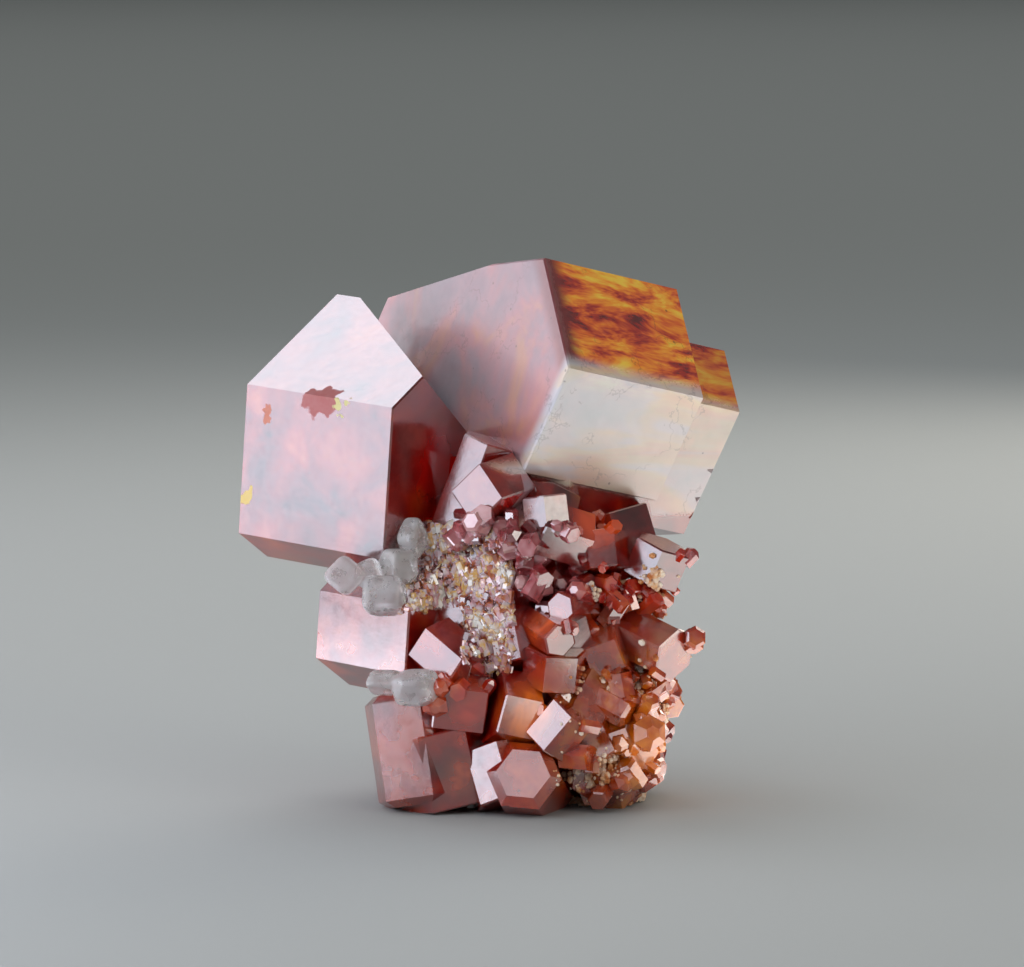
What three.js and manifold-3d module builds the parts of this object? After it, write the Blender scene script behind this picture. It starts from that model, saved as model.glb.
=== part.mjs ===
// Vanadinite cluster: six-sided crystals grown through each other, with a crumbly crust
// between the smaller ones and a few pale calcite crystals on the left side.
// Millimetres, +Z up, seen from the front along +Y. It stands on a flat cut underside at z = 0.

import * as THREE from 'three';
import { mergeVertices } from 'three/addons/utils/BufferGeometryUtils.js';
import Module from 'manifold-3d';

const wasm = await Module();
wasm.setup();

// Driving dimensions, mm
const GAP = 0.3; // clearance between two separate pieces that touch
const BASE_CENTRE = [0.5, 6.8, 0]; // middle of the cut underside, the part's own origin
const PYRAMID_SLOPE = 0.82; // rise over run of vanadinite's pyramid faces
const EDGE_BEVEL = 0.08; // small pyramid faces round each end of a crystal
const LEAN_BACK = 6; // degrees the whole cluster leans back from the layout below

const RED = { color: '#a8361f', roughness: 0.15, metalness: 0 };
const CRUST = { color: '#c9a878', roughness: 0.9, metalness: 0 };
const CALCITE = { color: '#d9d8d6', roughness: 0.2, metalness: 0 };

// A unit vector from an azimuth (0 faces the front, positive turns right) and an elevation
function heading(azimuth, elevation) {
  const a = THREE.MathUtils.degToRad(azimuth);
  const e = THREE.MathUtils.degToRad(elevation);
  return new THREE.Vector3(Math.sin(a) * Math.cos(e), -Math.cos(a) * Math.cos(e), Math.sin(e));
}

// The six-sided outline whose side k lies sides[k] from the middle, turned 60 degrees each
function hexagon(sides) {
  const corners = [];
  for (let k = 0; k < 6; k += 1) {
    const turn = (k * Math.PI) / 3;
    const here = sides[k];
    const next = sides[(k + 1) % 6];
    const along = (next - here / 2) / Math.sin(Math.PI / 3);
    corners.push(new THREE.Vector2(
      here * Math.cos(turn) - along * Math.sin(turn),
      here * Math.sin(turn) + along * Math.cos(turn),
    ));
  }
  return new THREE.Shape(corners);
}

// One prism. With `look`, `at` is a point on its front side face, `look` is the way that face
// looks and `lean` turns the long axis within it from upright towards the right.
// With `end`, `at` is the middle of its front end face, `end` the way that face looks and
// `lean` turns the outline. `grow` makes the whole crystal larger on every side.
function crystal(spec, grow = 0) {
  const { at, look, end, lean = 0, width = 1, length, bevel = EDGE_BEVEL } = spec;
  const flat = (width * Math.sqrt(3)) / 2;
  const sides = (spec.sides ?? Array(6).fill(flat)).map((side) => side + grow);
  const full = length + 2 * grow;
  const inset = Math.min(bevel, 0.45 * Math.min(...sides));
  const geometry = new THREE.ExtrudeGeometry(hexagon(sides), {
    depth: full - 2 * inset * PYRAMID_SLOPE,
    steps: 1,
    bevelEnabled: inset > 0,
    bevelSegments: 1,
    bevelThickness: inset * PYRAMID_SLOPE,
    bevelSize: inset,
    bevelOffset: -inset,
  });
  geometry.translate(0, 0, inset * PYRAMID_SLOPE - full / 2);
  const facing = heading(...(look ?? end));
  const up = new THREE.Vector3(0, 0, 1).addScaledVector(facing, -facing.z).normalize();
  const right = new THREE.Vector3().crossVectors(facing, up).negate();
  const angle = THREE.MathUtils.degToRad(lean);
  const turned = up.multiplyScalar(Math.cos(angle)).addScaledVector(right, Math.sin(angle));
  const middle = new THREE.Vector3(...at);
  const placed = new THREE.Matrix4();
  if (look) {
    middle.addScaledVector(facing, -(sides[0] - grow));
    placed.makeBasis(facing, new THREE.Vector3().crossVectors(turned, facing), turned);
  } else {
    middle.addScaledVector(facing, grow - full / 2);
    placed.makeBasis(turned, new THREE.Vector3().crossVectors(facing, turned), facing);
  }
  placed.setPosition(middle);
  return geometry.applyMatrix4(placed);
}

// The big crystals. Sides run round the long axis from the front face.
const BIG = {
  leftPrism: {
    at: [-8.1, 3.3, 15.0], look: [-35, -5], lean: 98, length: 8.0,
    sides: [3.1, 4.5, 3.6, 5.0, 7.5, 4.35],
  },
  upperPrism: {
    at: [4.3, 3.3, 15.0], look: [29.6, -27.5], lean: 101, length: 7.35,
    sides: [8.0, 4.75, 7.0, 7.0, 4.75, 7.7],
  },
  rightPrism: {
    at: [5.9, 4.0, 15.9], look: [29.6, -27.5], lean: 101, length: 9.0,
    sides: [4.0, 5.0, 4.0, 3.6, 3.2, 4.35],
  },
};

// The heart that the smaller crystals grow out of
const HEART = [
  { at: [0.8, 2.6, 7.4], look: [5, 0], lean: 3, width: 3.7, length: 16, bevel: 0 },
  { at: [-1.8, 1.9, 9.2], look: [-21, 12], lean: -16, width: 4.6, length: 6.4 },
  { at: [4.2, 3.4, 8.4], look: [32, -4], lean: 165, width: 3.0, length: 8.5, bevel: 0 },
  { at: [-2.2, 2.2, 3.4], look: [-25, 0], lean: 95, width: 3.2, length: 5.0, bevel: 0 },
  { at: [1.6, 4.5, 2.9], look: [10, -8], lean: 80, width: 3.4, length: 6.0, bevel: 0 },
];

// The middle-sized and small crystals of the front, from the top down
const FRONT = [
  { at: [-6.0, 2.0, 7.9], look: [-35, -5], lean: 98, width: 3.0, length: 4.9 },
  { at: [-2.8, 0.1, 6.9], look: [-30, 5], lean: 125, width: 1.4, length: 2.4 },
  { at: [-1.0, 0.9, 13.9], look: [-33, 3], lean: 140, width: 1.8, length: 2.0 },
  { at: [-1.9, 2.2, 14.0], look: [-33, 4], lean: 22, width: 1.3, length: 5.0 },
  { at: [1.5, 0.9, 13.1], look: [-33, -3], lean: 174, width: 1.1, length: 1.4 },
  { at: [2.6, 1.5, 12.8], look: [40, 6], lean: -158, width: 1.6, length: 2.9 },
  { at: [2.8, 1.1, 11.6], look: [12, -28], lean: 108, width: 1.4, length: 2.4 },
  { at: [6.2, 1.7, 11.0], look: [-33, 2], lean: -155, width: 1.4, length: 1.7 },
  { at: [4.4, 1.3, 11.6], look: [0, 12], lean: 174, width: 1.2, length: 1.7 },
  { at: [6.0, 3.6, 11.9], look: [38, 12], lean: 168, width: 2.2, length: 3.0 },
  { at: [6.3, 1.4, 8.2], look: [-20, 47], lean: 120, width: 1.25, length: 3.0 },
  { at: [2.6, 0.3, 9.0], end: [-33, 0], lean: 20, width: 0.75, length: 4.0 },
  { at: [2.6, -0.4, 7.6], end: [28, -16], lean: 10, width: 0.8, length: 4.0 },
  { at: [2.6, 0.0, 6.1], look: [12, -18], lean: -178, width: 1.4, length: 1.7 },
  { at: [0.9, -0.2, 4.3], look: [18, -12], lean: -78, width: 1.7, length: 1.8 },
  { at: [2.1, -0.5, 4.0], look: [-28, 10], lean: -140, width: 1.2, length: 2.0 },
  { at: [1.0, -0.5, 1.9], end: [-9, 17], lean: 5, width: 1.65, length: 4.0, bevel: 0.4 },
  { at: [-4.2, 0.4, 2.9], look: [-20, 0], lean: 171, width: 2.2, length: 4.9, bevel: 0.4 },
  { at: [-1.7, 0.0, 4.6], look: [6, -12], lean: -83, width: 1.8, length: 2.3 },
  { at: [-2.2, 0.3, 2.0], look: [10, -4], lean: 167, width: 2.1, length: 3.4 },
  { at: [-0.5, 0.1, 1.9], look: [-24, 6], lean: 160, width: 1.5, length: 2.5 },
  { at: [4.2, 0.9, 5.2], look: [15, 10], lean: 30, width: 1.5, length: 2.4 },
  { at: [3.4, 1.0, 7.6], look: [25, -10], lean: 160, width: 1.2, length: 2.2 },
  { at: [4.5, 0.9, 6.8], look: [-10, -12], lean: 70, width: 1.3, length: 1.6 },
  { at: [3.9, 0.8, 3.4], look: [-15, 15], lean: 150, width: 1.4, length: 2.2 },
  { at: [5.9, 1.9, 3.2], look: [35, -8], lean: 15, width: 1.5, length: 3.2 },
  { at: [3.4, 0.3, 2.5], end: [-20, 8], lean: 15, width: 0.35, length: 4.0 },
  { at: [7.9, 2.4, 7.6], end: [50, 5], lean: 15, width: 0.5, length: 5.0 },
];

// A closed solid from a shape of the layout, leaned back with the whole cluster
function solid(geometry) {
  const bare = geometry.clone();
  bare.rotateX(-THREE.MathUtils.degToRad(LEAN_BACK));
  bare.deleteAttribute('normal');
  bare.deleteAttribute('uv');
  const merged = mergeVertices(bare, 1e-5);
  return new wasm.Manifold(new wasm.Mesh({
    numProp: 3,
    vertProperties: new Float32Array(merged.attributes.position.array),
    triVerts: new Uint32Array(merged.index.array),
  }));
}

function union(solids) {
  return solids.reduce((whole, next) => whole.add(next));
}

// The slab of rock that was cut away below z = 0
function belowBase() {
  const slab = new THREE.BoxGeometry(60, 60, 20);
  slab.translate(0, 5, -10);
  slab.rotateX(THREE.MathUtils.degToRad(LEAN_BACK));
  return solid(slab);
}

// The triangles that hang together with the largest part of a solid
function largestPart(manifold) {
  const mesh = manifold.getMesh();
  const parent = Array.from({ length: mesh.vertProperties.length / 3 }, (_, i) => i);
  const root = (i) => {
    let r = i;
    while (parent[r] !== r) {
      parent[r] = parent[parent[r]];
      r = parent[r];
    }
    return r;
  };
  const tris = mesh.triVerts;
  for (let t = 0; t < tris.length; t += 3) {
    parent[root(tris[t])] = root(tris[t + 1]);
    parent[root(tris[t + 1])] = root(tris[t + 2]);
  }
  const counts = new Map();
  for (let t = 0; t < tris.length; t += 3) {
    const r = root(tris[t]);
    counts.set(r, (counts.get(r) ?? 0) + 1);
  }
  const best = [...counts.entries()].sort((p, q) => q[1] - p[1])[0][0];
  const kept = [];
  for (let t = 0; t < tris.length; t += 3) {
    if (root(tris[t]) === best) {
      kept.push(tris[t], tris[t + 1], tris[t + 2]);
    }
  }
  const geometry = new THREE.BufferGeometry();
  geometry.setAttribute('position', new THREE.BufferAttribute(mesh.vertProperties, 3));
  geometry.setIndex(kept);
  return geometry;
}

function piece(name, manifold, look) {
  const geometry = largestPart(manifold);
  geometry.computeVertexNormals();
  const mesh = new THREE.Mesh(geometry, new THREE.MeshStandardMaterial(look));
  mesh.name = name;
  return mesh;
}

// A repeatable stream of numbers between low and high
function stream(seed) {
  let state = seed;
  return (low, high) => {
    state = (state * 1103515245 + 12345) % 2147483648;
    return low + ((high - low) * state) / 2147483648;
  };
}

// Small crystals scattered over a patch of the front, pointing between two azimuths
function druse(seed, count, [x0, x1], [y0, y1], [z0, z1], [w0, w1], [a0, a1]) {
  const pick = stream(seed);
  return Array.from({ length: count }, () => ({
    at: [pick(x0, x1), pick(y0, y1), pick(z0, z1)],
    end: [pick(a0, a1), pick(-35, 50)],
    lean: pick(0, 60),
    width: pick(w0, w1),
    length: pick(2.2, 3.4),
    bevel: 0,
  }));
}

// Crystals standing out all round the back, in uneven rows up the heart
function backRows() {
  const pick = stream(43);
  const rows = [2.4, 5.0, 7.8, 10.4, 13.0];
  return rows.flatMap((z, row) => [92, 124, 156, 188, 220, 250].map((azimuth) => {
    const facing = azimuth + (row % 2) * 16 + pick(-10, 10);
    const out = heading(facing, 0);
    const width = pick(0.7, 1.2) * pick(0.9, 1.9);
    const reach = pick(3.6, 4.8) + width * 0.4;
    return {
      at: [0.7 + out.x * reach, 7.2 + out.y * reach * 0.9, z + pick(-0.7, 0.7)],
      end: [facing + pick(-38, 38), pick(-30, 55)],
      lean: pick(0, 60),
      width,
      length: pick(3.6, 4.6),
      bevel: width > 1.6 ? 0.12 : 0,
    };
  }));
}

// Chips along a worn edge: small tilted blocks taken out of it
function chips(seed, from, to, count, size) {
  const pick = stream(seed);
  const start = new THREE.Vector3(...from);
  const line = new THREE.Vector3(...to).sub(start);
  return Array.from({ length: count }, (_, i) => {
    const block = new THREE.BoxGeometry(pick(0.6, 1.4) * size, pick(0.6, 1.4) * size, size);
    block.rotateX(pick(0, 3));
    block.rotateY(pick(0, 3));
    const spot = start.clone().addScaledVector(line, (i + pick(0.2, 0.8)) / count);
    block.translate(spot.x, spot.y, spot.z);
    return solid(block);
  });
}

// The flat contact face that cuts off the left prism where it meets the upper one
function contactCut() {
  const block = new THREE.BoxGeometry(14, 30, 10);
  block.translate(0, 0, 5);
  block.rotateY(THREE.MathUtils.degToRad(51.5));
  block.translate(-3.5, 8, 19.2);
  return solid(block);
}

// The worn top left corner of the upper prism
function cornerWedge() {
  const block = new THREE.BoxGeometry(12, 30, 4);
  block.translate(0, 0, 2);
  block.rotateY(THREE.MathUtils.degToRad(-15));
  block.translate(-3.7, 8, 23.15);
  return solid(block);
}

// Rounded lumps: a sphere of flat facets, stretched and roughened by `rough` mm
function lump([x, y, z], [rx, ry, rz], detail, rough) {
  const geometry = new THREE.IcosahedronGeometry(1, detail);
  const spots = geometry.attributes.position;
  const p = new THREE.Vector3();
  for (let i = 0; i < spots.count; i += 1) {
    p.fromBufferAttribute(spots, i);
    const wave = Math.sin(p.x * 5.1 + p.y * 3.3) + Math.sin(p.y * 6.7 - p.z * 4.9)
      + Math.sin(p.z * 9.1 + p.x * 7.7) + Math.sin(p.x * 13 - p.y * 11 + p.z * 12);
    p.multiplyScalar(1 + (rough * wave) / (rx + ry + rz));
    spots.setXYZ(i, x + p.x * rx, y + p.y * ry, z + p.z * rz);
  }
  return solid(geometry);
}

// The crumbly crust: a main lump on the right and a thin skin over the middle
const CRUST_LUMPS = [
  [[4.1, 5.0, 4.6], [3.2, 4.1, 5.4], 7, 0.5],
  [[2.9, 2.6, 8.6], [2.8, 1.2, 2.4], 4, 0.3],
  [[5.8, 3.6, 9.4], [1.6, 1.6, 1.6], 3, 0.3],
];

// The pale calcite crystals: the group under the left prism and the two stubs lower down
const UPPER_CALCITE = [
  [[-6.7, 1.2, 10.4], [0.8, 0.7, 0.75], 1, 0.1],
  [[-5.7, 1.3, 10.5], [0.6, 0.6, 0.6], 1, 0.1],
  [[-5.0, 0.9, 9.5], [0.95, 0.7, 0.85], 1, 0.1],
  [[-4.4, 1.5, 10.8], [0.75, 0.7, 0.8], 1, 0.1],
  [[-3.8, 1.9, 12.0], [0.55, 0.6, 0.8], 1, 0.1],
];
const LOWER_CALCITE = [
  [[-4.9, -0.1, 5.8], [0.8, 0.65, 0.5], 1, 0.1],
  [[-3.6, -0.5, 5.6], [0.95, 0.7, 0.75], 1, 0.1],
];

const below = belowBase();
const leftPrism = solid(crystal(BIG.leftPrism)).subtract(contactCut());
const upperPrism = solid(crystal(BIG.upperPrism)).subtract(cornerWedge());
const specs = [
  BIG.rightPrism,
  ...HEART,
  ...FRONT,
  ...druse(7, 22, [-1.2, 4.2], [0.9, 1.8], [6.6, 13.2], [0.3, 0.6], [-60, 60]),
  ...druse(19, 10, [2.6, 6.2], [0.9, 2.0], [0.8, 6.6], [0.35, 0.65], [-20, 50]),
  ...druse(53, 9, [3.2, 6.3], [1.0, 2.2], [1.2, 6.4], [0.65, 1.05], [-20, 45]),
  ...backRows(),
];
const wear = union([
  ...chips(3, [-11.6, 3.4, 19.0], [-11.4, 5.0, 11.6], 7, 0.7),
  ...chips(9, [11.1, 5.3, 18.0], [8.3, 7.2, 12.4], 6, 0.45),
]);
const crystals = union([leftPrism, upperPrism, ...specs.map((spec) => solid(crystal(spec)))])
  .subtract(wear)
  .subtract(below);

// The crystals again, larger by the gap: what the crust and the calcite are cut back by
const clearance = union([
  solid(crystal(BIG.leftPrism, GAP)),
  solid(crystal(BIG.upperPrism, GAP)),
  ...specs.map((spec) => solid(crystal({ ...spec, bevel: 0 }, GAP))),
]);
const lumps = (list) => union(list.map((one) => lump(...one))).subtract(clearance);
const crust = lumps(CRUST_LUMPS).subtract(below);
const upperCalcite = lumps(UPPER_CALCITE);
const lowerCalcite = lumps(LOWER_CALCITE);

const cluster = new THREE.Group();
cluster.name = 'vanadinite_cluster';
cluster.position.set(-BASE_CENTRE[0], -BASE_CENTRE[1], -BASE_CENTRE[2]);
cluster.add(piece('vanadinite_crystals', crystals, RED));
cluster.add(piece('crumbly_crust', crust, CRUST));
cluster.add(piece('upper_calcite', upperCalcite, CALCITE));
cluster.add(piece('lower_calcite', lowerCalcite, CALCITE));

export default cluster;
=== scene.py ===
"""Vanadinite cluster: intergrown red crystals, crumbly crust and pale calcite on a pale floor.

Positions are millimetres in the part's own layout, which leans back LEAN_BACK degrees and
whose origin lies BASE_CENTRE away from the frame's. Blender objects are in metres.
"""

import math
import random

import bmesh
import bpy
from mathutils import Matrix, Vector, noise
from mathutils.bvhtree import BVHTree


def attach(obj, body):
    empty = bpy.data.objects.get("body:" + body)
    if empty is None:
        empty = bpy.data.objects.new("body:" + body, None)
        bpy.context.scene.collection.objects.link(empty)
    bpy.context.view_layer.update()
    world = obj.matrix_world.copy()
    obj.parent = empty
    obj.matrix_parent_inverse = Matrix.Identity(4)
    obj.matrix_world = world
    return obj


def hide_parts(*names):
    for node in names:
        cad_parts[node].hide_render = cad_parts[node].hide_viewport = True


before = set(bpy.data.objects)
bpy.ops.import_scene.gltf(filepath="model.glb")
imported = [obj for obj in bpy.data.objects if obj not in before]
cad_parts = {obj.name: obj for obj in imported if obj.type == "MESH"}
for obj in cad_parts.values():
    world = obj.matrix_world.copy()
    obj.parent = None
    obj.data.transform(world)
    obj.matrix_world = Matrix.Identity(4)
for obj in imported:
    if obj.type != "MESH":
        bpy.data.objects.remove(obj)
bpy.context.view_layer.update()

MM = 0.001
BASE_CENTRE = Vector((0.5, 6.8, 0.0))
LEAN_BACK = Matrix.Rotation(-math.radians(6), 3, "X")
LAYOUT_CENTRE = (0, 6.5, 0)  # the rays that seat small things pass through this upright line
PYRAMID_SLOPE = 0.82  # rise over run of the pyramid faces
BROAD = 0.9  # mm2; broader faces stay clean of small crystals


def place(x, y, z):
    """A layout point in mm as a frame point in metres."""
    return (LEAN_BACK @ Vector((x, y, z)) - BASE_CENTRE) * MM


def heading(azimuth, elevation):
    """A direction: azimuth 0 faces the front, positive turns right."""
    a, e = math.radians(azimuth), math.radians(elevation)
    return Vector((math.sin(a) * math.cos(e), -math.cos(a) * math.cos(e), math.sin(e)))


# Camera
def make_camera():
    data = bpy.data.cameras.new("camera")
    data.lens = 200
    data.sensor_width = 36
    data.clip_start = 0.01
    data.clip_end = 100
    camera = bpy.data.objects.new("camera", data)
    bpy.context.scene.collection.objects.link(camera)
    target = place(0.52, 2.0, 14.37)
    away = heading(0, 6)
    distance = 0.247
    camera.location = target + away * distance
    camera.rotation_euler = (-away).to_track_quat("-Z", "Y").to_euler()
    bpy.context.scene.camera = camera


make_camera()


# Shader helpers
def linear(hex_colour):
    """#rrggbb in sRGB to linear RGBA."""
    parts = [int(hex_colour[i : i + 2], 16) / 255 for i in (1, 3, 5)]
    return [c / 12.92 if c <= 0.04045 else ((c + 0.055) / 1.055) ** 2.4 for c in parts] + [1.0]


def add(tree, kind, inputs=None, **settings):
    """Adds a shader node; an input given as a socket is linked, any other is set."""
    made = tree.nodes.new(kind)
    for key, value in settings.items():
        setattr(made, key, value)
    for key, value in (inputs or {}).items():
        if isinstance(value, bpy.types.NodeSocket):
            tree.links.new(value, made.inputs[key])
        else:
            made.inputs[key].default_value = value
    return made


def ramp(tree, factor, stops):
    """A colour from a factor and its (position, colour) stops."""
    made = add(tree, "ShaderNodeValToRGB", {"Fac": factor})
    elements = made.color_ramp.elements
    while len(elements) < len(stops):
        elements.new(0.5)
    for element, (position, colour) in zip(elements, stops):
        element.position = position
        element.color = linear(colour)
    return made.outputs["Color"]


def mix(tree, factor, first, second):
    """From the first colour to the second."""
    made = add(tree, "ShaderNodeMix", data_type="RGBA")
    for socket, value in ((made.inputs[0], factor), (made.inputs[6], first), (made.inputs[7], second)):
        if isinstance(value, bpy.types.NodeSocket):
            tree.links.new(value, socket)
        else:
            socket.default_value = linear(value) if isinstance(value, str) else value
    return made.outputs[2]


def math_node(tree, operation, a, b=0.0, clamp=False):
    return add(tree, "ShaderNodeMath", {0: a, 1: b}, operation=operation, use_clamp=clamp).outputs[0]


def times(tree, a, b):
    return math_node(tree, "MULTIPLY", a, b)


def larger(tree, a, b):
    return math_node(tree, "MAXIMUM", a, b)


def vector_node(tree, operation, output, *inputs):
    """One output of a vector operation on its inputs in order."""
    made = add(tree, "ShaderNodeVectorMath", dict(enumerate(inputs)), operation=operation)
    return made.outputs[output]


def span(tree, value, low, high, to_low=0.0, to_high=1.0):
    """A smooth step of value from low to high."""
    made = add(
        tree,
        "ShaderNodeMapRange",
        {"Value": value, "From Min": low, "From Max": high, "To Min": to_low, "To Max": to_high},
        interpolation_type="SMOOTHSTEP",
    )
    return made.outputs[0]


def noise_at(tree, vector, scale, detail=3.0, roughness=0.55, distortion=0.0):
    made = add(
        tree,
        "ShaderNodeTexNoise",
        {
            "Vector": vector,
            "Scale": scale,
            "Detail": detail,
            "Roughness": roughness,
            "Distortion": distortion,
        },
    )
    return made.outputs["Fac"]


def bump_from(tree, height, strength, distance):
    """A normal from a height; the distance is in metres."""
    inputs = {"Strength": strength, "Distance": distance, "Height": height}
    return add(tree, "ShaderNodeBump", inputs).outputs[0]


def island_value(tree):
    """A number from 0 to 1, its own for each loose crystal or grain of a piece."""
    return add(tree, "ShaderNodeNewGeometry").outputs["Random Per Island"]


def absorb_inside(tree, output, colour, density):
    inputs = {"Color": colour, "Density": density}
    absorb = add(tree, "ShaderNodeVolumeAbsorption", inputs)
    tree.links.new(absorb.outputs[0], output.inputs["Volume"])


def new_material(name):
    """A material with its tree, its output node and the object's own coordinates in mm."""
    material = bpy.data.materials.new(name)
    material.use_nodes = True
    tree = material.node_tree
    tree.nodes.clear()
    output = add(tree, "ShaderNodeOutputMaterial")
    coords = add(tree, "ShaderNodeTexCoord")
    mm = vector_node(tree, "MULTIPLY", 0, coords.outputs["Object"], (1000, 1000, 1000))
    return material, tree, output, mm


def along(tree, mm, axis):
    """How far a point in mm lies along an axis."""
    return vector_node(tree, "DOT_PRODUCT", "Value", mm, axis)


def near(tree, mm, point, outer, inner):
    """One within the inner distance of a point in mm, nothing beyond the outer one."""
    return span(tree, vector_node(tree, "DISTANCE", "Value", mm, point), outer, inner)


def beyond_corner(tree, mm, axis):
    """How far past UPPER_CORNER a point lies along an axis, in mm."""
    return math_node(tree, "SUBTRACT", along(tree, mm, axis), axis.dot(UPPER_CORNER) / MM)


def under(tree, mm, normal, depth):
    """One at the plane through UPPER_CORNER, falling to nothing at a depth in mm and just outside."""
    above = beyond_corner(tree, mm, normal)
    return times(tree, span(tree, above, -depth, -0.1), span(tree, above, 0.25, 0.12))


# Vanadinite: lead chlorovanadate, glassy to resinous, red, with amber light inside painted into its
# colour
UPPER_AXIS = LEAN_BACK @ Vector((0.81, 0.56, -0.17)).normalized()
UPPER_SIDE = LEAN_BACK @ Vector((0.556, -0.645, 0.524)).normalized()
LOWER_SIDE = LEAN_BACK @ Vector((0.438, -0.772, -0.461)).normalized()
DOWN_SIDE = UPPER_AXIS.cross(LOWER_SIDE)
UPPER_CORNER = place(2.96, 0, 19.3)
# painted glow where light gathers inside: frame point in mm, radius in mm, colour
PAINTED_GLOWS = [
    ((-3.6, -1.2, 14.6), 2.0, "#b80c06"),
    ((-9.2, 1.2, 9.6), 2.0, "#7a2c06"),
    ((0.7, -6.2, 4.4), 1.5, "#f07a12"),
    ((5.8, -5.0, 3.0), 2.0, "#e07c10"),
    ((-1.6, -6.4, 4.8), 1.2, "#dc3a1e"),
    ((-2.2, -6.0, 1.6), 1.0, "#b8400c"),
    ((3.9, -3.8, 12.6), 1.5, "#d4480c"),
    ((1.6, -5.6, 8.2), 1.2, "#e05a1c"),
    ((4.0, -3.2, 14.2), 1.5, "#f0a018"),
    ((6.6, -3.4, 12.4), 1.3, "#c83c10"),
]
# colours of each zone, from the dark end of its noise to the bright end
BRIGHT_RED = [(0.36, "#560503"), (0.48, "#9c1206"), (0.62, "#d8480e")]
RUSTY = [(0.35, "#7a1804"), (0.50, "#c04a0a"), (0.66, "#ea901c")]
PAINTED_PINK_SHEEN = [(0.30, "#6e1016"), (0.44, "#a8424a"), (0.55, "#cc8a90"), (0.70, "#e2babc")]
PAINTED_AMBER_GLOW = [(0.33, "#5c0706"), (0.41, "#b02206"), (0.47, "#e4600a"), (0.54, "#fb960e"), (0.64, "#ffd03a")]
PAINTED_LILAC_SHEEN = [(0.34, "#77717c"), (0.46, "#8d7a83"), (0.56, "#a5767a"), (0.66, "#b98468")]
PAINTED_MILKY_SHEEN = [(0.34, "#b4bcc2"), (0.46, "#bec0c2"), (0.53, "#ccc0a6"), (0.60, "#cdb4a2"), (0.68, "#bcbabe")]
# chips and stained nicks: layout point in mm, radius in mm, colour
CHIPS = [
    ((-7.9, 2.6, 18.1), 0.9, "#8c2418"),
    ((-7.0, 2.1, 17.9), 0.45, "#b4a860"),
    ((-10.2, 4.5, 17.4), 0.35, "#a8522c"),
    ((-11.4, 5.7, 13.7), 0.4, "#b89a40"),
]


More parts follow.
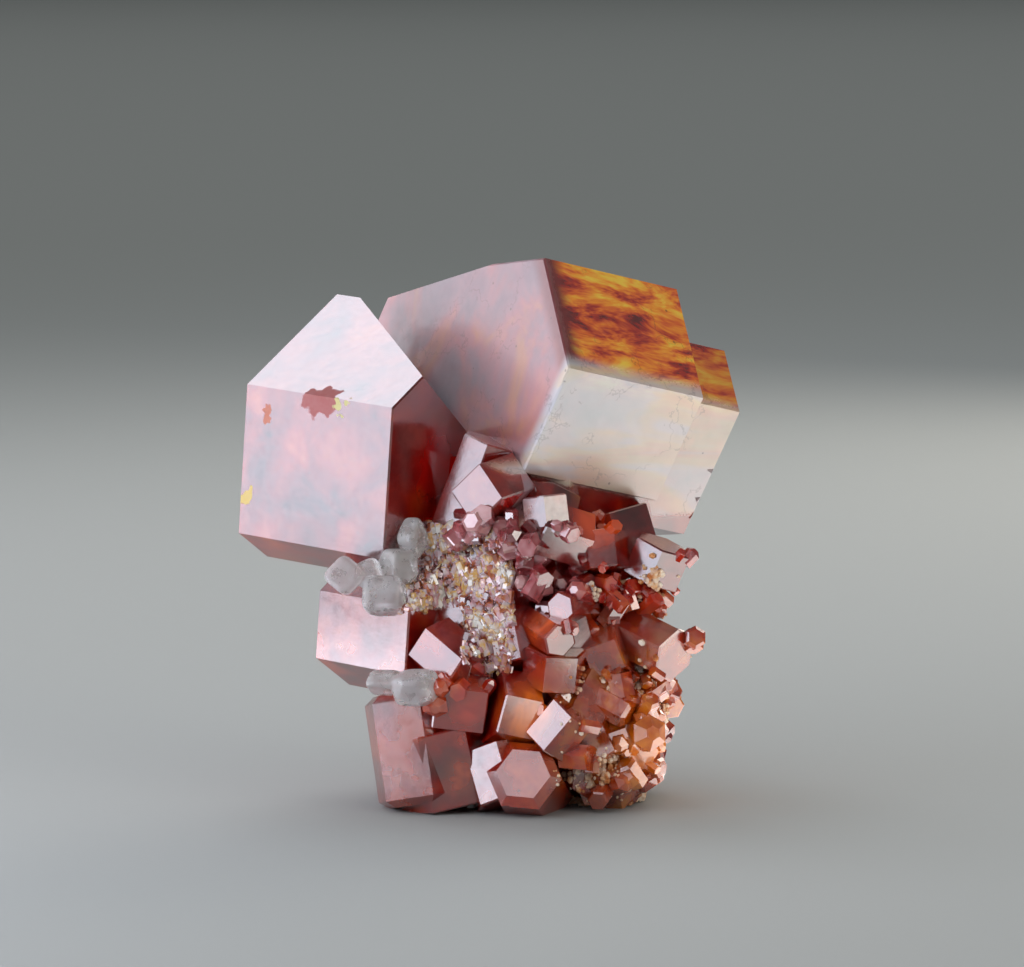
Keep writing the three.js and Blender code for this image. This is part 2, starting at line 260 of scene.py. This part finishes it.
def vanadinite(name, tint, transmission, gloss, grown):
    """The red crystals; grown is 1 for the large joined ones and 0 for the crowd of small ones."""
    material, tree, output, mm = new_material(name)
    # the body colour drifts from deep red to orange, and from one small crystal to the next
    drift = noise_at(tree, mm, 0.42, 3, 0.6, 0.4)
    island = island_value(tree)
    shift = span(tree, island, 0.0, 1.0, -0.14, 0.14)
    body = ramp(tree, math_node(tree, "ADD", drift, times(tree, shift, 1.0 - grown)), tint)
    # brighter low down, a painted pinkish sheen on the small crystals in the upper hollow, browner
    # orange at the lower right
    x = along(tree, mm, (1, 0, 0))
    z = along(tree, mm, (0, 0, 1))
    bright = ramp(tree, noise_at(tree, mm, 0.55, 3), BRIGHT_RED)
    low = span(tree, z, 9.5, 7.0)
    body = mix(tree, times(tree, low, 0.6), body, bright)
    if not grown:
        # the pale pink on the small crystals of the upper hollow is a painted sheen
        hollow = times(tree, span(tree, x, 4.0, 2.0), span(tree, z, 7.5, 9.0))
        pink = ramp(tree, math_node(tree, "ADD", drift, shift), PAINTED_PINK_SHEEN)
        body = mix(tree, times(tree, hollow, 0.8), body, pink)
    right = times(tree, span(tree, x, 0.5, 4.5), span(tree, z, 9.5, 5.0))
    rusty = ramp(tree, noise_at(tree, mm, 0.8, 3), RUSTY)
    body = mix(tree, times(tree, right, 0.75), body, rusty)
    patchy = span(tree, drift, 0.4, 0.6, 0.5, 1.0)
    lit = times(tree, low, 0.4)
    # each glow paints a pool of light seen inside the crystal into the body colour
    for centre, radius, colour in PAINTED_GLOWS:
        painted_glow = times(tree, near(tree, mm, centre, radius * 1.2, radius * 0.4), patchy)
        body = mix(tree, painted_glow, body, colour)
        lit = larger(tree, lit, painted_glow)
    # where glow is painted in, and a little everywhere low down, the crystal is made less clear
    see_through = times(tree, math_node(tree, "SUBTRACT", 1.0, lit), transmission)
    end = 0.0
    sheen_side = 0.0
    matte = 0.0
    if grown:
        # amber streaks along the upper prism, on its upper side: painted light seen through it, with
        # darker streaks between
        streak_axes = add(
            tree,
            "ShaderNodeCombineXYZ",
            {
                0: times(tree, along(tree, mm, UPPER_AXIS), 0.32),
                1: along(tree, mm, UPPER_SIDE),
                2: along(tree, mm, UPPER_AXIS.cross(UPPER_SIDE)),
            },
        ).outputs[0]
        streaks = noise_at(tree, streak_axes, 0.85, 4, 0.68, 0.45)
        amber = ramp(tree, streaks, PAINTED_AMBER_GLOW)
        # the painted amber light fades to dark red towards the end of the prism
        rim = beyond_corner(tree, mm, UPPER_AXIS)
        amber = mix(tree, span(tree, rim, 1.1, 0.2), amber, "#6e1216")
        high = span(tree, z, 12.0, 12.4)
        # the end face is frosted, and painted with a greyish lilac to pink sheen
        end = times(tree, under(tree, mm, -UPPER_AXIS, 0.4), high)
        lilac = ramp(tree, noise_at(tree, mm, 0.28, 3, 0.6, 0.5), PAINTED_LILAC_SHEEN)
        body = mix(tree, times(tree, end, 0.75), body, lilac)
        painted_fire = times(tree, under(tree, mm, UPPER_SIDE, 1.0), high)
        body = mix(tree, painted_fire, body, amber)
        # the side below it is frosted, with a painted whitish sheen and faint yellow and blue painted
        # iridescence
        iridescent_sheen = ramp(tree, noise_at(tree, streak_axes, 0.38, 3, 0.5, 0.8), PAINTED_MILKY_SHEEN)
        reach = beyond_corner(tree, mm, DOWN_SIDE)
        reach = math_node(tree, "SUBTRACT", reach, span(tree, x, 6.0, 6.6, 0.0, 3.0))
        on_side = times(tree, span(tree, reach, 5.4, 5.15), high)
        sheen_side = times(tree, under(tree, mm, LOWER_SIDE, 0.8), on_side)
        body = mix(tree, times(tree, sheen_side, 0.8), body, iridescent_sheen)
        # ragged outlines: coordinates pushed about by up to 2 mm, 1 mm on average
        torn = add(tree, "ShaderNodeTexNoise", {"Vector": mm, "Scale": 1.6, "Detail": 3.0})
        ragged = vector_node(tree, "MULTIPLY_ADD", 0, torn.outputs["Color"], (2, 2, 2), mm)
        for centre, radius, colour in CHIPS:
            shifted = place(*centre) / MM + Vector((1, 1, 1))
            worn = near(tree, ragged, shifted, radius * 1.1, radius * 0.9)
            body = mix(tree, worn, body, colour)
            matte = larger(tree, matte, worn)
        # where sheen or amber light is painted in, or the edge is worn, the crystal lets less light
        # through
        sheen_or_glow = larger(tree, larger(tree, painted_fire, sheen_side), end)
        clear = math_node(tree, "SUBTRACT", 1.0, larger(tree, sheen_or_glow, matte))
        see_through = times(tree, clear, see_through)
        # small dark pits, and a few hairline cracks that wander over the upper faces
        pit = add(tree, "ShaderNodeTexVoronoi", {"Vector": mm, "Scale": 0.9})
        pits = span(tree, pit.outputs["Distance"], 0.07, 0.04)
        cell = add(
            tree, "ShaderNodeTexVoronoi", {"Vector": ragged, "Scale": 0.3}, feature="DISTANCE_TO_EDGE"
        )
        crack = times(tree, span(tree, cell.outputs["Distance"], 0.016, 0.004), 0.5)
        crack = times(tree, crack, times(tree, high, span(tree, drift, 0.48, 0.54)))
        marks = larger(tree, pits, crack)
        body = mix(tree, times(tree, marks, 0.6), body, "#3a0c0a")
    frost = span(tree, noise_at(tree, mm, 2.6, 3, 0.7), 0.3, 0.75, gloss[0], gloss[1])
    frosted = times(tree, larger(tree, end, sheen_side), 0.2)
    dull = larger(tree, frosted, times(tree, matte, 0.6))
    frost = math_node(tree, "ADD", frost, dull)
    coat = times(tree, math_node(tree, "SUBTRACT", 1.0, dull), 0.45)
    coat = math_node(tree, "SUBTRACT", coat, times(tree, dull, 0.4), True)
    # growth steps: wide low hills and an etched grain
    grain = times(tree, noise_at(tree, mm, 6.0, 3, 0.65), 0.2)
    height = math_node(tree, "ADD", noise_at(tree, mm, 0.5, 1, 0.5), grain)
    normal = bump_from(tree, height, 0.3, 0.06 * MM)
    shader = add(
        tree,
        "ShaderNodeBsdfPrincipled",
        {
            "Base Color": body,
            "Roughness": frost,
            "IOR": 2.3,
            "Transmission Weight": see_through,
            "Coat Weight": coat,
            "Coat Roughness": 0.16 if grown else 0.06,
            "Coat IOR": 1.9,
            "Normal": normal,
        },
    )
    tree.links.new(shader.outputs[0], output.inputs["Surface"])
    if grown:
        absorb_inside(tree, output, (0.95, 0.22, 0.05, 1), 600.0)
    return material


# Etched vanadinite: red with painted silvery, gold and pink glints, spread at random over the steps
def etched_material():
    material, tree, output, mm = new_material("vanadinite_etched_painted_glints")
    island = island_value(tree)
    shift = span(tree, island, 0.0, 1.0, -0.12, 0.12)
    # the silvery, gold and pink stops are painted glints in the colour
    colour = ramp(
        tree,
        math_node(tree, "ADD", noise_at(tree, mm, 0.8, 3), shift),
        [
            (0.31, "#5c1414"),
            (0.38, "#b8602c"),
            (0.44, "#c08890"),
            (0.52, "#d4c4c8"),
            (0.60, "#dca848"),
            (0.68, "#e8e4dc"),
        ],
    )
    shader = add(
        tree,
        "ShaderNodeBsdfPrincipled",
        {
            "Base Color": colour,
            "Roughness": 0.22,
            "IOR": 2.3,
            "Coat Weight": 0.5,
            "Coat Roughness": 0.08,
            "Coat IOR": 1.9,
        },
    )
    tree.links.new(shader.outputs[0], output.inputs["Surface"])
    return material


# Crust: cream and gold grains, dull and crumbly
def crust_material():
    material, tree, output, mm = new_material("crust")
    patches = noise_at(tree, mm, 0.9, 4, 0.65)
    colour = ramp(
        tree,
        patches,
        [(0.3, "#94400f"), (0.40, "#cc7a3c"), (0.47, "#e4b486"), (0.56, "#f2dcc4"), (0.70, "#fdf6ec")],
    )
    island = island_value(tree)
    colour = mix(tree, span(tree, island, 0.5, 1.0, 0.0, 0.7), colour, "#f2e6d6")
    grain = noise_at(tree, mm, 14.0, 4, 0.7)
    shader = add(
        tree,
        "ShaderNodeBsdfPrincipled",
        {
            "Base Color": colour,
            "Roughness": span(tree, grain, 0.3, 0.7, 0.45, 0.85),
            "Normal": bump_from(tree, grain, 0.6, 0.06 * MM),
        },
    )
    tree.links.new(shader.outputs[0], output.inputs["Surface"])
    return material


# Calcite: pale grey, translucent, faintly clouded
def calcite_material():
    material, tree, output, mm = new_material("calcite")
    cloud = noise_at(tree, mm, 1.3, 4, 0.6, 0.6)
    colour = ramp(tree, cloud, [(0.3, "#d8d0cc"), (0.5, "#eceae8"), (0.7, "#fbfafa")])
    normal = bump_from(tree, noise_at(tree, mm, 4.0, 3), 0.3, 0.04 * MM)
    shader = add(
        tree,
        "ShaderNodeBsdfPrincipled",
        {
            "Base Color": colour,
            "Roughness": span(tree, cloud, 0.3, 0.7, 0.18, 0.4),
            "IOR": 1.6,
            "Transmission Weight": 0.75,
            "Normal": normal,
        },
    )
    tree.links.new(shader.outputs[0], output.inputs["Surface"])
    absorb_inside(tree, output, (0.95, 0.93, 0.92, 1), 40.0)
    return material


RED_TINT = [(0.30, "#4c0303"), (0.45, "#860804"), (0.58, "#b01e06"), (0.72, "#d04c10")]
DRUSE_TINT = [
    (0.28, "#6a0604"),
    (0.40, "#a80e06"),
    (0.52, "#d8320c"),
    (0.64, "#ea5e1e"),
    (0.76, "#ea9270"),
]
BIG_RED = vanadinite("vanadinite", RED_TINT, 0.5, (0.12, 0.24), 1.0)
SMALL_RED = vanadinite("vanadinite_druse", DRUSE_TINT, 0.3, (0.08, 0.22), 0.0)
ETCHED = etched_material()
CRUST = crust_material()
CALCITE = calcite_material()


# Pieces
def new_piece(name, bm, material, smooth=False):
    """A piece of the visual model from its mesh, riding on the part's only body."""
    mesh = bpy.data.meshes.new(name)
    bm.to_mesh(mesh)
    bm.free()
    mesh.polygons.foreach_set("use_smooth", [smooth] * len(mesh.polygons))
    mesh.materials.append(material)
    piece = bpy.data.objects.new(name, mesh)
    bpy.context.scene.collection.objects.link(piece)
    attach(piece, "root")
    return piece


def apply_modifiers(piece):
    graph = bpy.context.evaluated_depsgraph_get()
    mesh = bpy.data.meshes.new_from_object(piece.evaluated_get(graph))
    piece.modifiers.clear()
    piece.data = mesh


def big_crystals():
    """The joined crystals with their sharp edges slightly worn."""
    bm = bmesh.new()
    bm.from_mesh(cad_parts["vanadinite_crystals"].data)
    bmesh.ops.remove_doubles(bm, verts=bm.verts, dist=1e-8)
    bmesh.ops.dissolve_limit(bm, angle_limit=math.radians(0.6), verts=bm.verts, edges=bm.edges)
    piece = new_piece("crystals", bm, BIG_RED)
    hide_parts("vanadinite_crystals")
    bevel = piece.modifiers.new("worn_edges", "BEVEL")
    bevel.width = 0.03 * MM
    bevel.segments = 1
    bevel.limit_method = "ANGLE"
    bevel.angle_limit = math.radians(25)
    apply_modifiers(piece)
    return piece


def add_prism(bm, at, axis, spin, radius, length, cap, flat=1.0):
    """A six-sided prism, wider one way by flat, its top bevelled by cap, its foot sunk in."""
    across = Matrix.Rotation(spin * math.pi, 3, axis) @ axis.orthogonal().normalized()
    corners = [Matrix.Rotation(k * math.pi / 3, 3, axis) @ across * radius for k in range(6)]
    corners = [corner + across * corner.dot(across) * (flat - 1.0) for corner in corners]
    rise = cap * radius * PYRAMID_SLOPE
    steps = ((-0.45 * length, 1.0), (0.55 * length - rise, 1.0), (0.55 * length, 1.0 - cap))
    rings = []
    for height, size in steps:
        rings.append([bm.verts.new(at + axis * height + corner * size) for corner in corners])
    for low, high in zip(rings, rings[1:]):
        for k in range(6):
            bm.faces.new((low[k], low[(k + 1) % 6], high[(k + 1) % 6], high[k]))
    bm.faces.new(rings[-1])
    bm.faces.new(list(reversed(rings[0])))


class Surface:
    """The faces of some pieces, to seat small things on."""

    def __init__(self, pieces):
        verts = []
        faces = []
        self.areas = []
        for piece in pieces:
            start = len(verts)
            verts.extend(v.co.copy() for v in piece.data.vertices)
            faces.extend([start + i for i in p.vertices] for p in piece.data.polygons)
            self.areas.extend(p.area / MM**2 for p in piece.data.polygons)
        self.tree = BVHTree.FromPolygons(verts, faces)

    def hit(self, azimuth, across, height):
        """Where a level ray from one side meets the surface, the normal, and the face's area in mm2."""
        out = LEAN_BACK @ heading(azimuth, 0)
        right = LEAN_BACK @ heading(azimuth + 90, 0)
        up = LEAN_BACK @ Vector((0, 0, height))
        start = place(*LAYOUT_CENTRE) + (right * across + up + out * 50) * MM
        point, normal, index, _ = self.tree.ray_cast(start, -out)
        return (point, normal, self.areas[index]) if point else (None, None, 0)


def loose_direction(rng):
    return Vector([rng.uniform(-1, 1) for _ in range(3)])


def small_crystals(surface):
    """Small crystals in the hollows between the larger ones, on every side."""
    rng = random.Random(11)
    bm = bmesh.new()
    # azimuth, across from and to, height from and to, count, radius from and to
    patches = [
        (0, -1.9, 2.6, 7.6, 13.6, 170, 0.20, 0.50),
        (0, 2.6, 6.8, 8.0, 13.2, 130, 0.18, 0.48),
        (0, -3.2, 4.3, 4.6, 7.8, 80, 0.22, 0.55),
        (0, 2.6, 7.2, 0.8, 6.2, 120, 0.15, 0.50),
        (0, 3.2, 7.0, 1.2, 5.6, 30, 0.45, 0.85),
        (50, -3.5, 4.0, 1.0, 12.5, 120, 0.2, 0.6),
        (110, -4.0, 4.0, 1.0, 12.5, 120, 0.2, 0.7),
        (170, -4.5, 4.5, 1.0, 13.0, 160, 0.2, 0.7),
        (230, -4.0, 4.0, 1.0, 12.5, 120, 0.2, 0.7),
        (295, -2.5, 4.0, 1.0, 12.0, 60, 0.2, 0.5),
    ]
    for azimuth, a0, a1, z0, z1, count, r0, r1 in patches:
        for _ in range(count):
            point, normal, area = surface.hit(azimuth, rng.uniform(a0, a1), rng.uniform(z0, z1))
            radius = (r0 + (r1 - r0) * rng.random() ** 1.6) * MM
            if point is None or point.z < radius * 1.6 or area > BROAD:
                continue
            axis = (normal * rng.uniform(0.1, 0.9) + loose_direction(rng)).normalized()
            length = radius * rng.uniform(1.7, 3.4)
            spin = rng.uniform(0, 1)
            cap = rng.choice((0.15, 0.3, 0.6))
            add_prism(bm, point, axis, spin, radius, length, cap, rng.uniform(0.8, 1.25))
    new_piece("small_crystals", bm, SMALL_RED)


STEPS = 1700  # tries; those that miss the etched crystal are left out


def etched_side(surface):
    """The rough etched crystal at the middle left: short steps and flakes along its long axis."""
    rng = random.Random(23)
    bm = bmesh.new()
    facing = LEAN_BACK @ heading(-21, 12)
    up = (Vector((0, 0, 1)) - facing * facing.z).normalized()
    lean = Matrix.Rotation(math.radians(14), 3, facing)
    axis = lean @ up
    for _ in range(STEPS):
        point, normal, _ = surface.hit(0, rng.uniform(-4.3, 0.5), rng.uniform(6.2, 12.6))
        if point is None or normal.dot(facing) < 0.1:
            continue
        if point.x < -2.1 * MM and point.z < 8.8 * MM:
            continue
        tilt = (axis + loose_direction(rng) * 0.55).normalized()
        radius = (0.04 + 0.2 * rng.random() ** 2) * MM
        sunk = point - facing * radius * rng.uniform(0.2, 0.8)
        add_prism(bm, sunk, tilt, rng.uniform(0, 1), radius, rng.uniform(0.15, 0.75) * MM, 0.3)
    new_piece("etched_steps", bm, ETCHED)


def crust():
    """The crumbly crust: the solid's shape with a grainy skin."""
    bm = bmesh.new()
    bm.from_mesh(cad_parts["crumbly_crust"].data)
    piece = new_piece("crust", bm, CRUST)
    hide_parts("crumbly_crust")
    remesh = piece.modifiers.new("even_skin", "REMESH")
    remesh.mode = "VOXEL"
    remesh.voxel_size = 0.09 * MM
    apply_modifiers(piece)
    skin = [(v.co.copy(), v.normal.copy()) for v in piece.data.vertices]
    for v, (at, out) in zip(piece.data.vertices, skin):
        p = at / MM
        swell = 0.16 * noise.fractal(p * 1.6, 0.8, 2.0, 4) + 0.10 * (noise.cell(p * 4.0) - 0.5)
        grown = at + out * swell * MM
        v.co = (grown.x, grown.y, max(grown.z, 0.0))
    piece.data.polygons.foreach_set("use_smooth", [False] * len(piece.data.polygons))


def any_turn(rng, size):
    return Matrix.Rotation(rng.uniform(0, 3), size, "X") @ Matrix.Rotation(rng.uniform(0, 3), size, "Z")


def grain_shape():
    bm = bmesh.new()
    bmesh.ops.create_icosphere(bm, subdivisions=1, radius=1.0)
    bm.verts.ensure_lookup_table()
    verts = [v.co.copy() for v in bm.verts]
    faces = [[v.index for v in f.verts] for f in bm.faces]
    bm.free()
    return verts, faces


def crust_grains(surface):
    """Loose-looking grains in patches between the crystals."""
    verts, faces = grain_shape()
    rng = random.Random(37)
    bm = bmesh.new()
    # azimuth, across and spread, height and spread, count
    patches = [
        (0, 4.3, 0.6, 9.6, 0.5, 70), (0, 6.6, 0.4, 10.0, 0.7, 90), (0, 3.9, 0.8, 5.0, 1.0, 170),
        (0, 6.3, 0.7, 5.4, 1.0, 130), (0, 4.2, 1.6, 1.8, 0.9, 170), (0, -0.4, 0.8, 8.4, 0.9, 40),
        (60, 1.5, 2.0, 6.0, 3.0, 200), (100, 0.5, 2.0, 5.0, 3.0, 220), (200, 0.0, 3.0, 4.0, 2.5, 160),
    ]
    for azimuth, across, spread_a, height, spread_z, count in patches:
        for _ in range(count):
            point, normal, area = surface.hit(
                azimuth, rng.gauss(across, spread_a * 0.6), rng.gauss(height, spread_z * 0.6)
            )
            if point is None or point.z < 0.25 * MM or area > 3 * BROAD:
                continue
            size = (0.04 + 0.13 * rng.random() ** 1.5) * MM
            turn = any_turn(rng, 4)
            wide, deep = rng.uniform(0.7, 1.3), rng.uniform(0.7, 1.3)
            stretch = Matrix.Diagonal((size * wide, size, size * deep, 1))
            at = Matrix.Translation(point + normal * size * 0.3)
            corners = [bm.verts.new(at @ turn @ stretch @ v) for v in verts]
            for face in faces:
                bm.faces.new([corners[i] for i in face])
    new_piece("crust_grains", bm, CRUST)


BLOCKY = 4.5  # the power of the rounded block's outline; 2 would be a ball


def calcite(name, node, lumps, seed):
    """Rounded blocky crystals, grown into one another."""
    rng = random.Random(seed)
    bm = bmesh.new()
    for centre, radii in lumps:
        made = bmesh.ops.create_icosphere(bm, subdivisions=4, radius=1.0)
        turn = any_turn(rng, 3)
        for v in made["verts"]:
            p = turn @ v.co
            reach = sum(abs(c) ** BLOCKY for c in p) ** (-1 / BLOCKY)
            q = turn.inverted() @ (p * reach) * 0.93
            v.co = place(*(Vector((q.x * radii[0], q.y * radii[1], q.z * radii[2])) + Vector(centre)))
    piece = new_piece(name, bm, CALCITE, smooth=True)
    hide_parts(node)
    remesh = piece.modifiers.new("joined", "REMESH")
    remesh.mode = "VOXEL"
    remesh.voxel_size = 0.05 * MM
    remesh.use_smooth_shade = True
    apply_modifiers(piece)


crystals = big_crystals()
whole = Surface([crystals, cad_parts["crumbly_crust"]])
small_crystals(whole)
etched_side(Surface([crystals]))
crust()
crust_grains(whole)
calcite("calcite_upper", "upper_calcite", [
    ((-6.7, 1.2, 10.4), (0.8, 0.7, 0.75)),
    ((-5.7, 1.3, 10.5), (0.6, 0.6, 0.6)),
    ((-5.0, 0.9, 9.5), (0.95, 0.7, 0.85)),
    ((-4.4, 1.5, 10.8), (0.75, 0.7, 0.8)),
    ((-3.8, 1.9, 12.0), (0.55, 0.6, 0.8)),
], 3)
calcite("calcite_lower", "lower_calcite", [
    ((-4.9, -0.1, 5.8), (0.8, 0.65, 0.5)),
    ((-3.6, -0.5, 5.6), (0.95, 0.7, 0.75)),
], 4)


# Floor and light
def floor():
    bm = bmesh.new()
    bmesh.ops.create_grid(bm, x_segments=1, y_segments=1, size=30)
    mesh = bpy.data.meshes.new("floor")
    bm.to_mesh(mesh)
    bm.free()
    material, tree, output, _ = new_material("floor")
    inputs = {"Base Color": linear("#9c9f9d"), "Roughness": 0.9}
    shader = add(tree, "ShaderNodeBsdfPrincipled", inputs)
    tree.links.new(shader.outputs[0], output.inputs["Surface"])
    mesh.materials.append(material)
    piece = bpy.data.objects.new("floor", mesh)
    bpy.context.scene.collection.objects.link(piece)


def panel(name, at, towards, width, height, radiance, colour):
    """A soft panel that the camera doesn't see; places and sizes in mm."""
    data = bpy.data.lights.new(name, "AREA")
    data.shape = "RECTANGLE"
    data.size = width * MM
    data.size_y = height * MM
    data.energy = radiance * math.pi * width * height * MM * MM
    data.color = linear(colour)[:3]
    light = bpy.data.objects.new(name, data)
    bpy.context.scene.collection.objects.link(light)
    light.location = Vector(at) * MM
    aim = Vector(towards) * MM - light.location
    light.rotation_euler = aim.to_track_quat("-Z", "Y").to_euler()
    light.visible_camera = False
    return light


def lighting():
    world = bpy.data.worlds.new("world")
    world.use_nodes = True
    bpy.context.scene.world = world
    sky = world.node_tree.nodes["Background"]
    sky.inputs["Color"].default_value = linear("#b4b8b8")
    sky.inputs["Strength"].default_value = 0.25
    panel("overhead", (-48, 105, 184), (0, 0, 15), 130, 120, 3.4, "#eef3ff")
    panel("left_front", (-62, -31, 26), (0, -3, 12), 56, 50, 3.1, "#e8eeff")
    panel("low_left", (-36, -16, 0.8), (-36, -16, 40), 40, 36, 4.2, "#eaf0ff")
    panel("low_right", (20, -8, 0.8), (20, -8, 40), 27, 23, 1.8, "#fbf8f4")
    panel("left_behind", (-138, 60, 60), (0, 0, 18), 120, 110, 1.8, "#f2ecf5")
    panel("right_behind", (90, 150, 90), (0, 0, 15), 110, 110, 3.2, "#fff6ea")
    panel("front_left", (-150, -170, 50), (0, 0, 6), 100, 90, 0.8, "#f4f0f8")
    panel("front_above", (-60, -190, 150), (0, 0, 5), 120, 90, 1.5, "#f4f0f8")
    # one wide, faint ceiling evens out the floor, and gives no reflection
    ceiling = panel("ceiling", (0, 0, 900), (0, 0, 0), 3600, 3600, 0.45, "#f0f2f2")
    ceiling.visible_glossy = False
    ceiling.visible_transmission = False
    panel("front_right", (150, -120, 72), (0, 0, 12), 80, 80, 3.2, "#fff8f0")


floor()
lighting()
bpy.context.scene.view_settings.view_transform = "Standard"
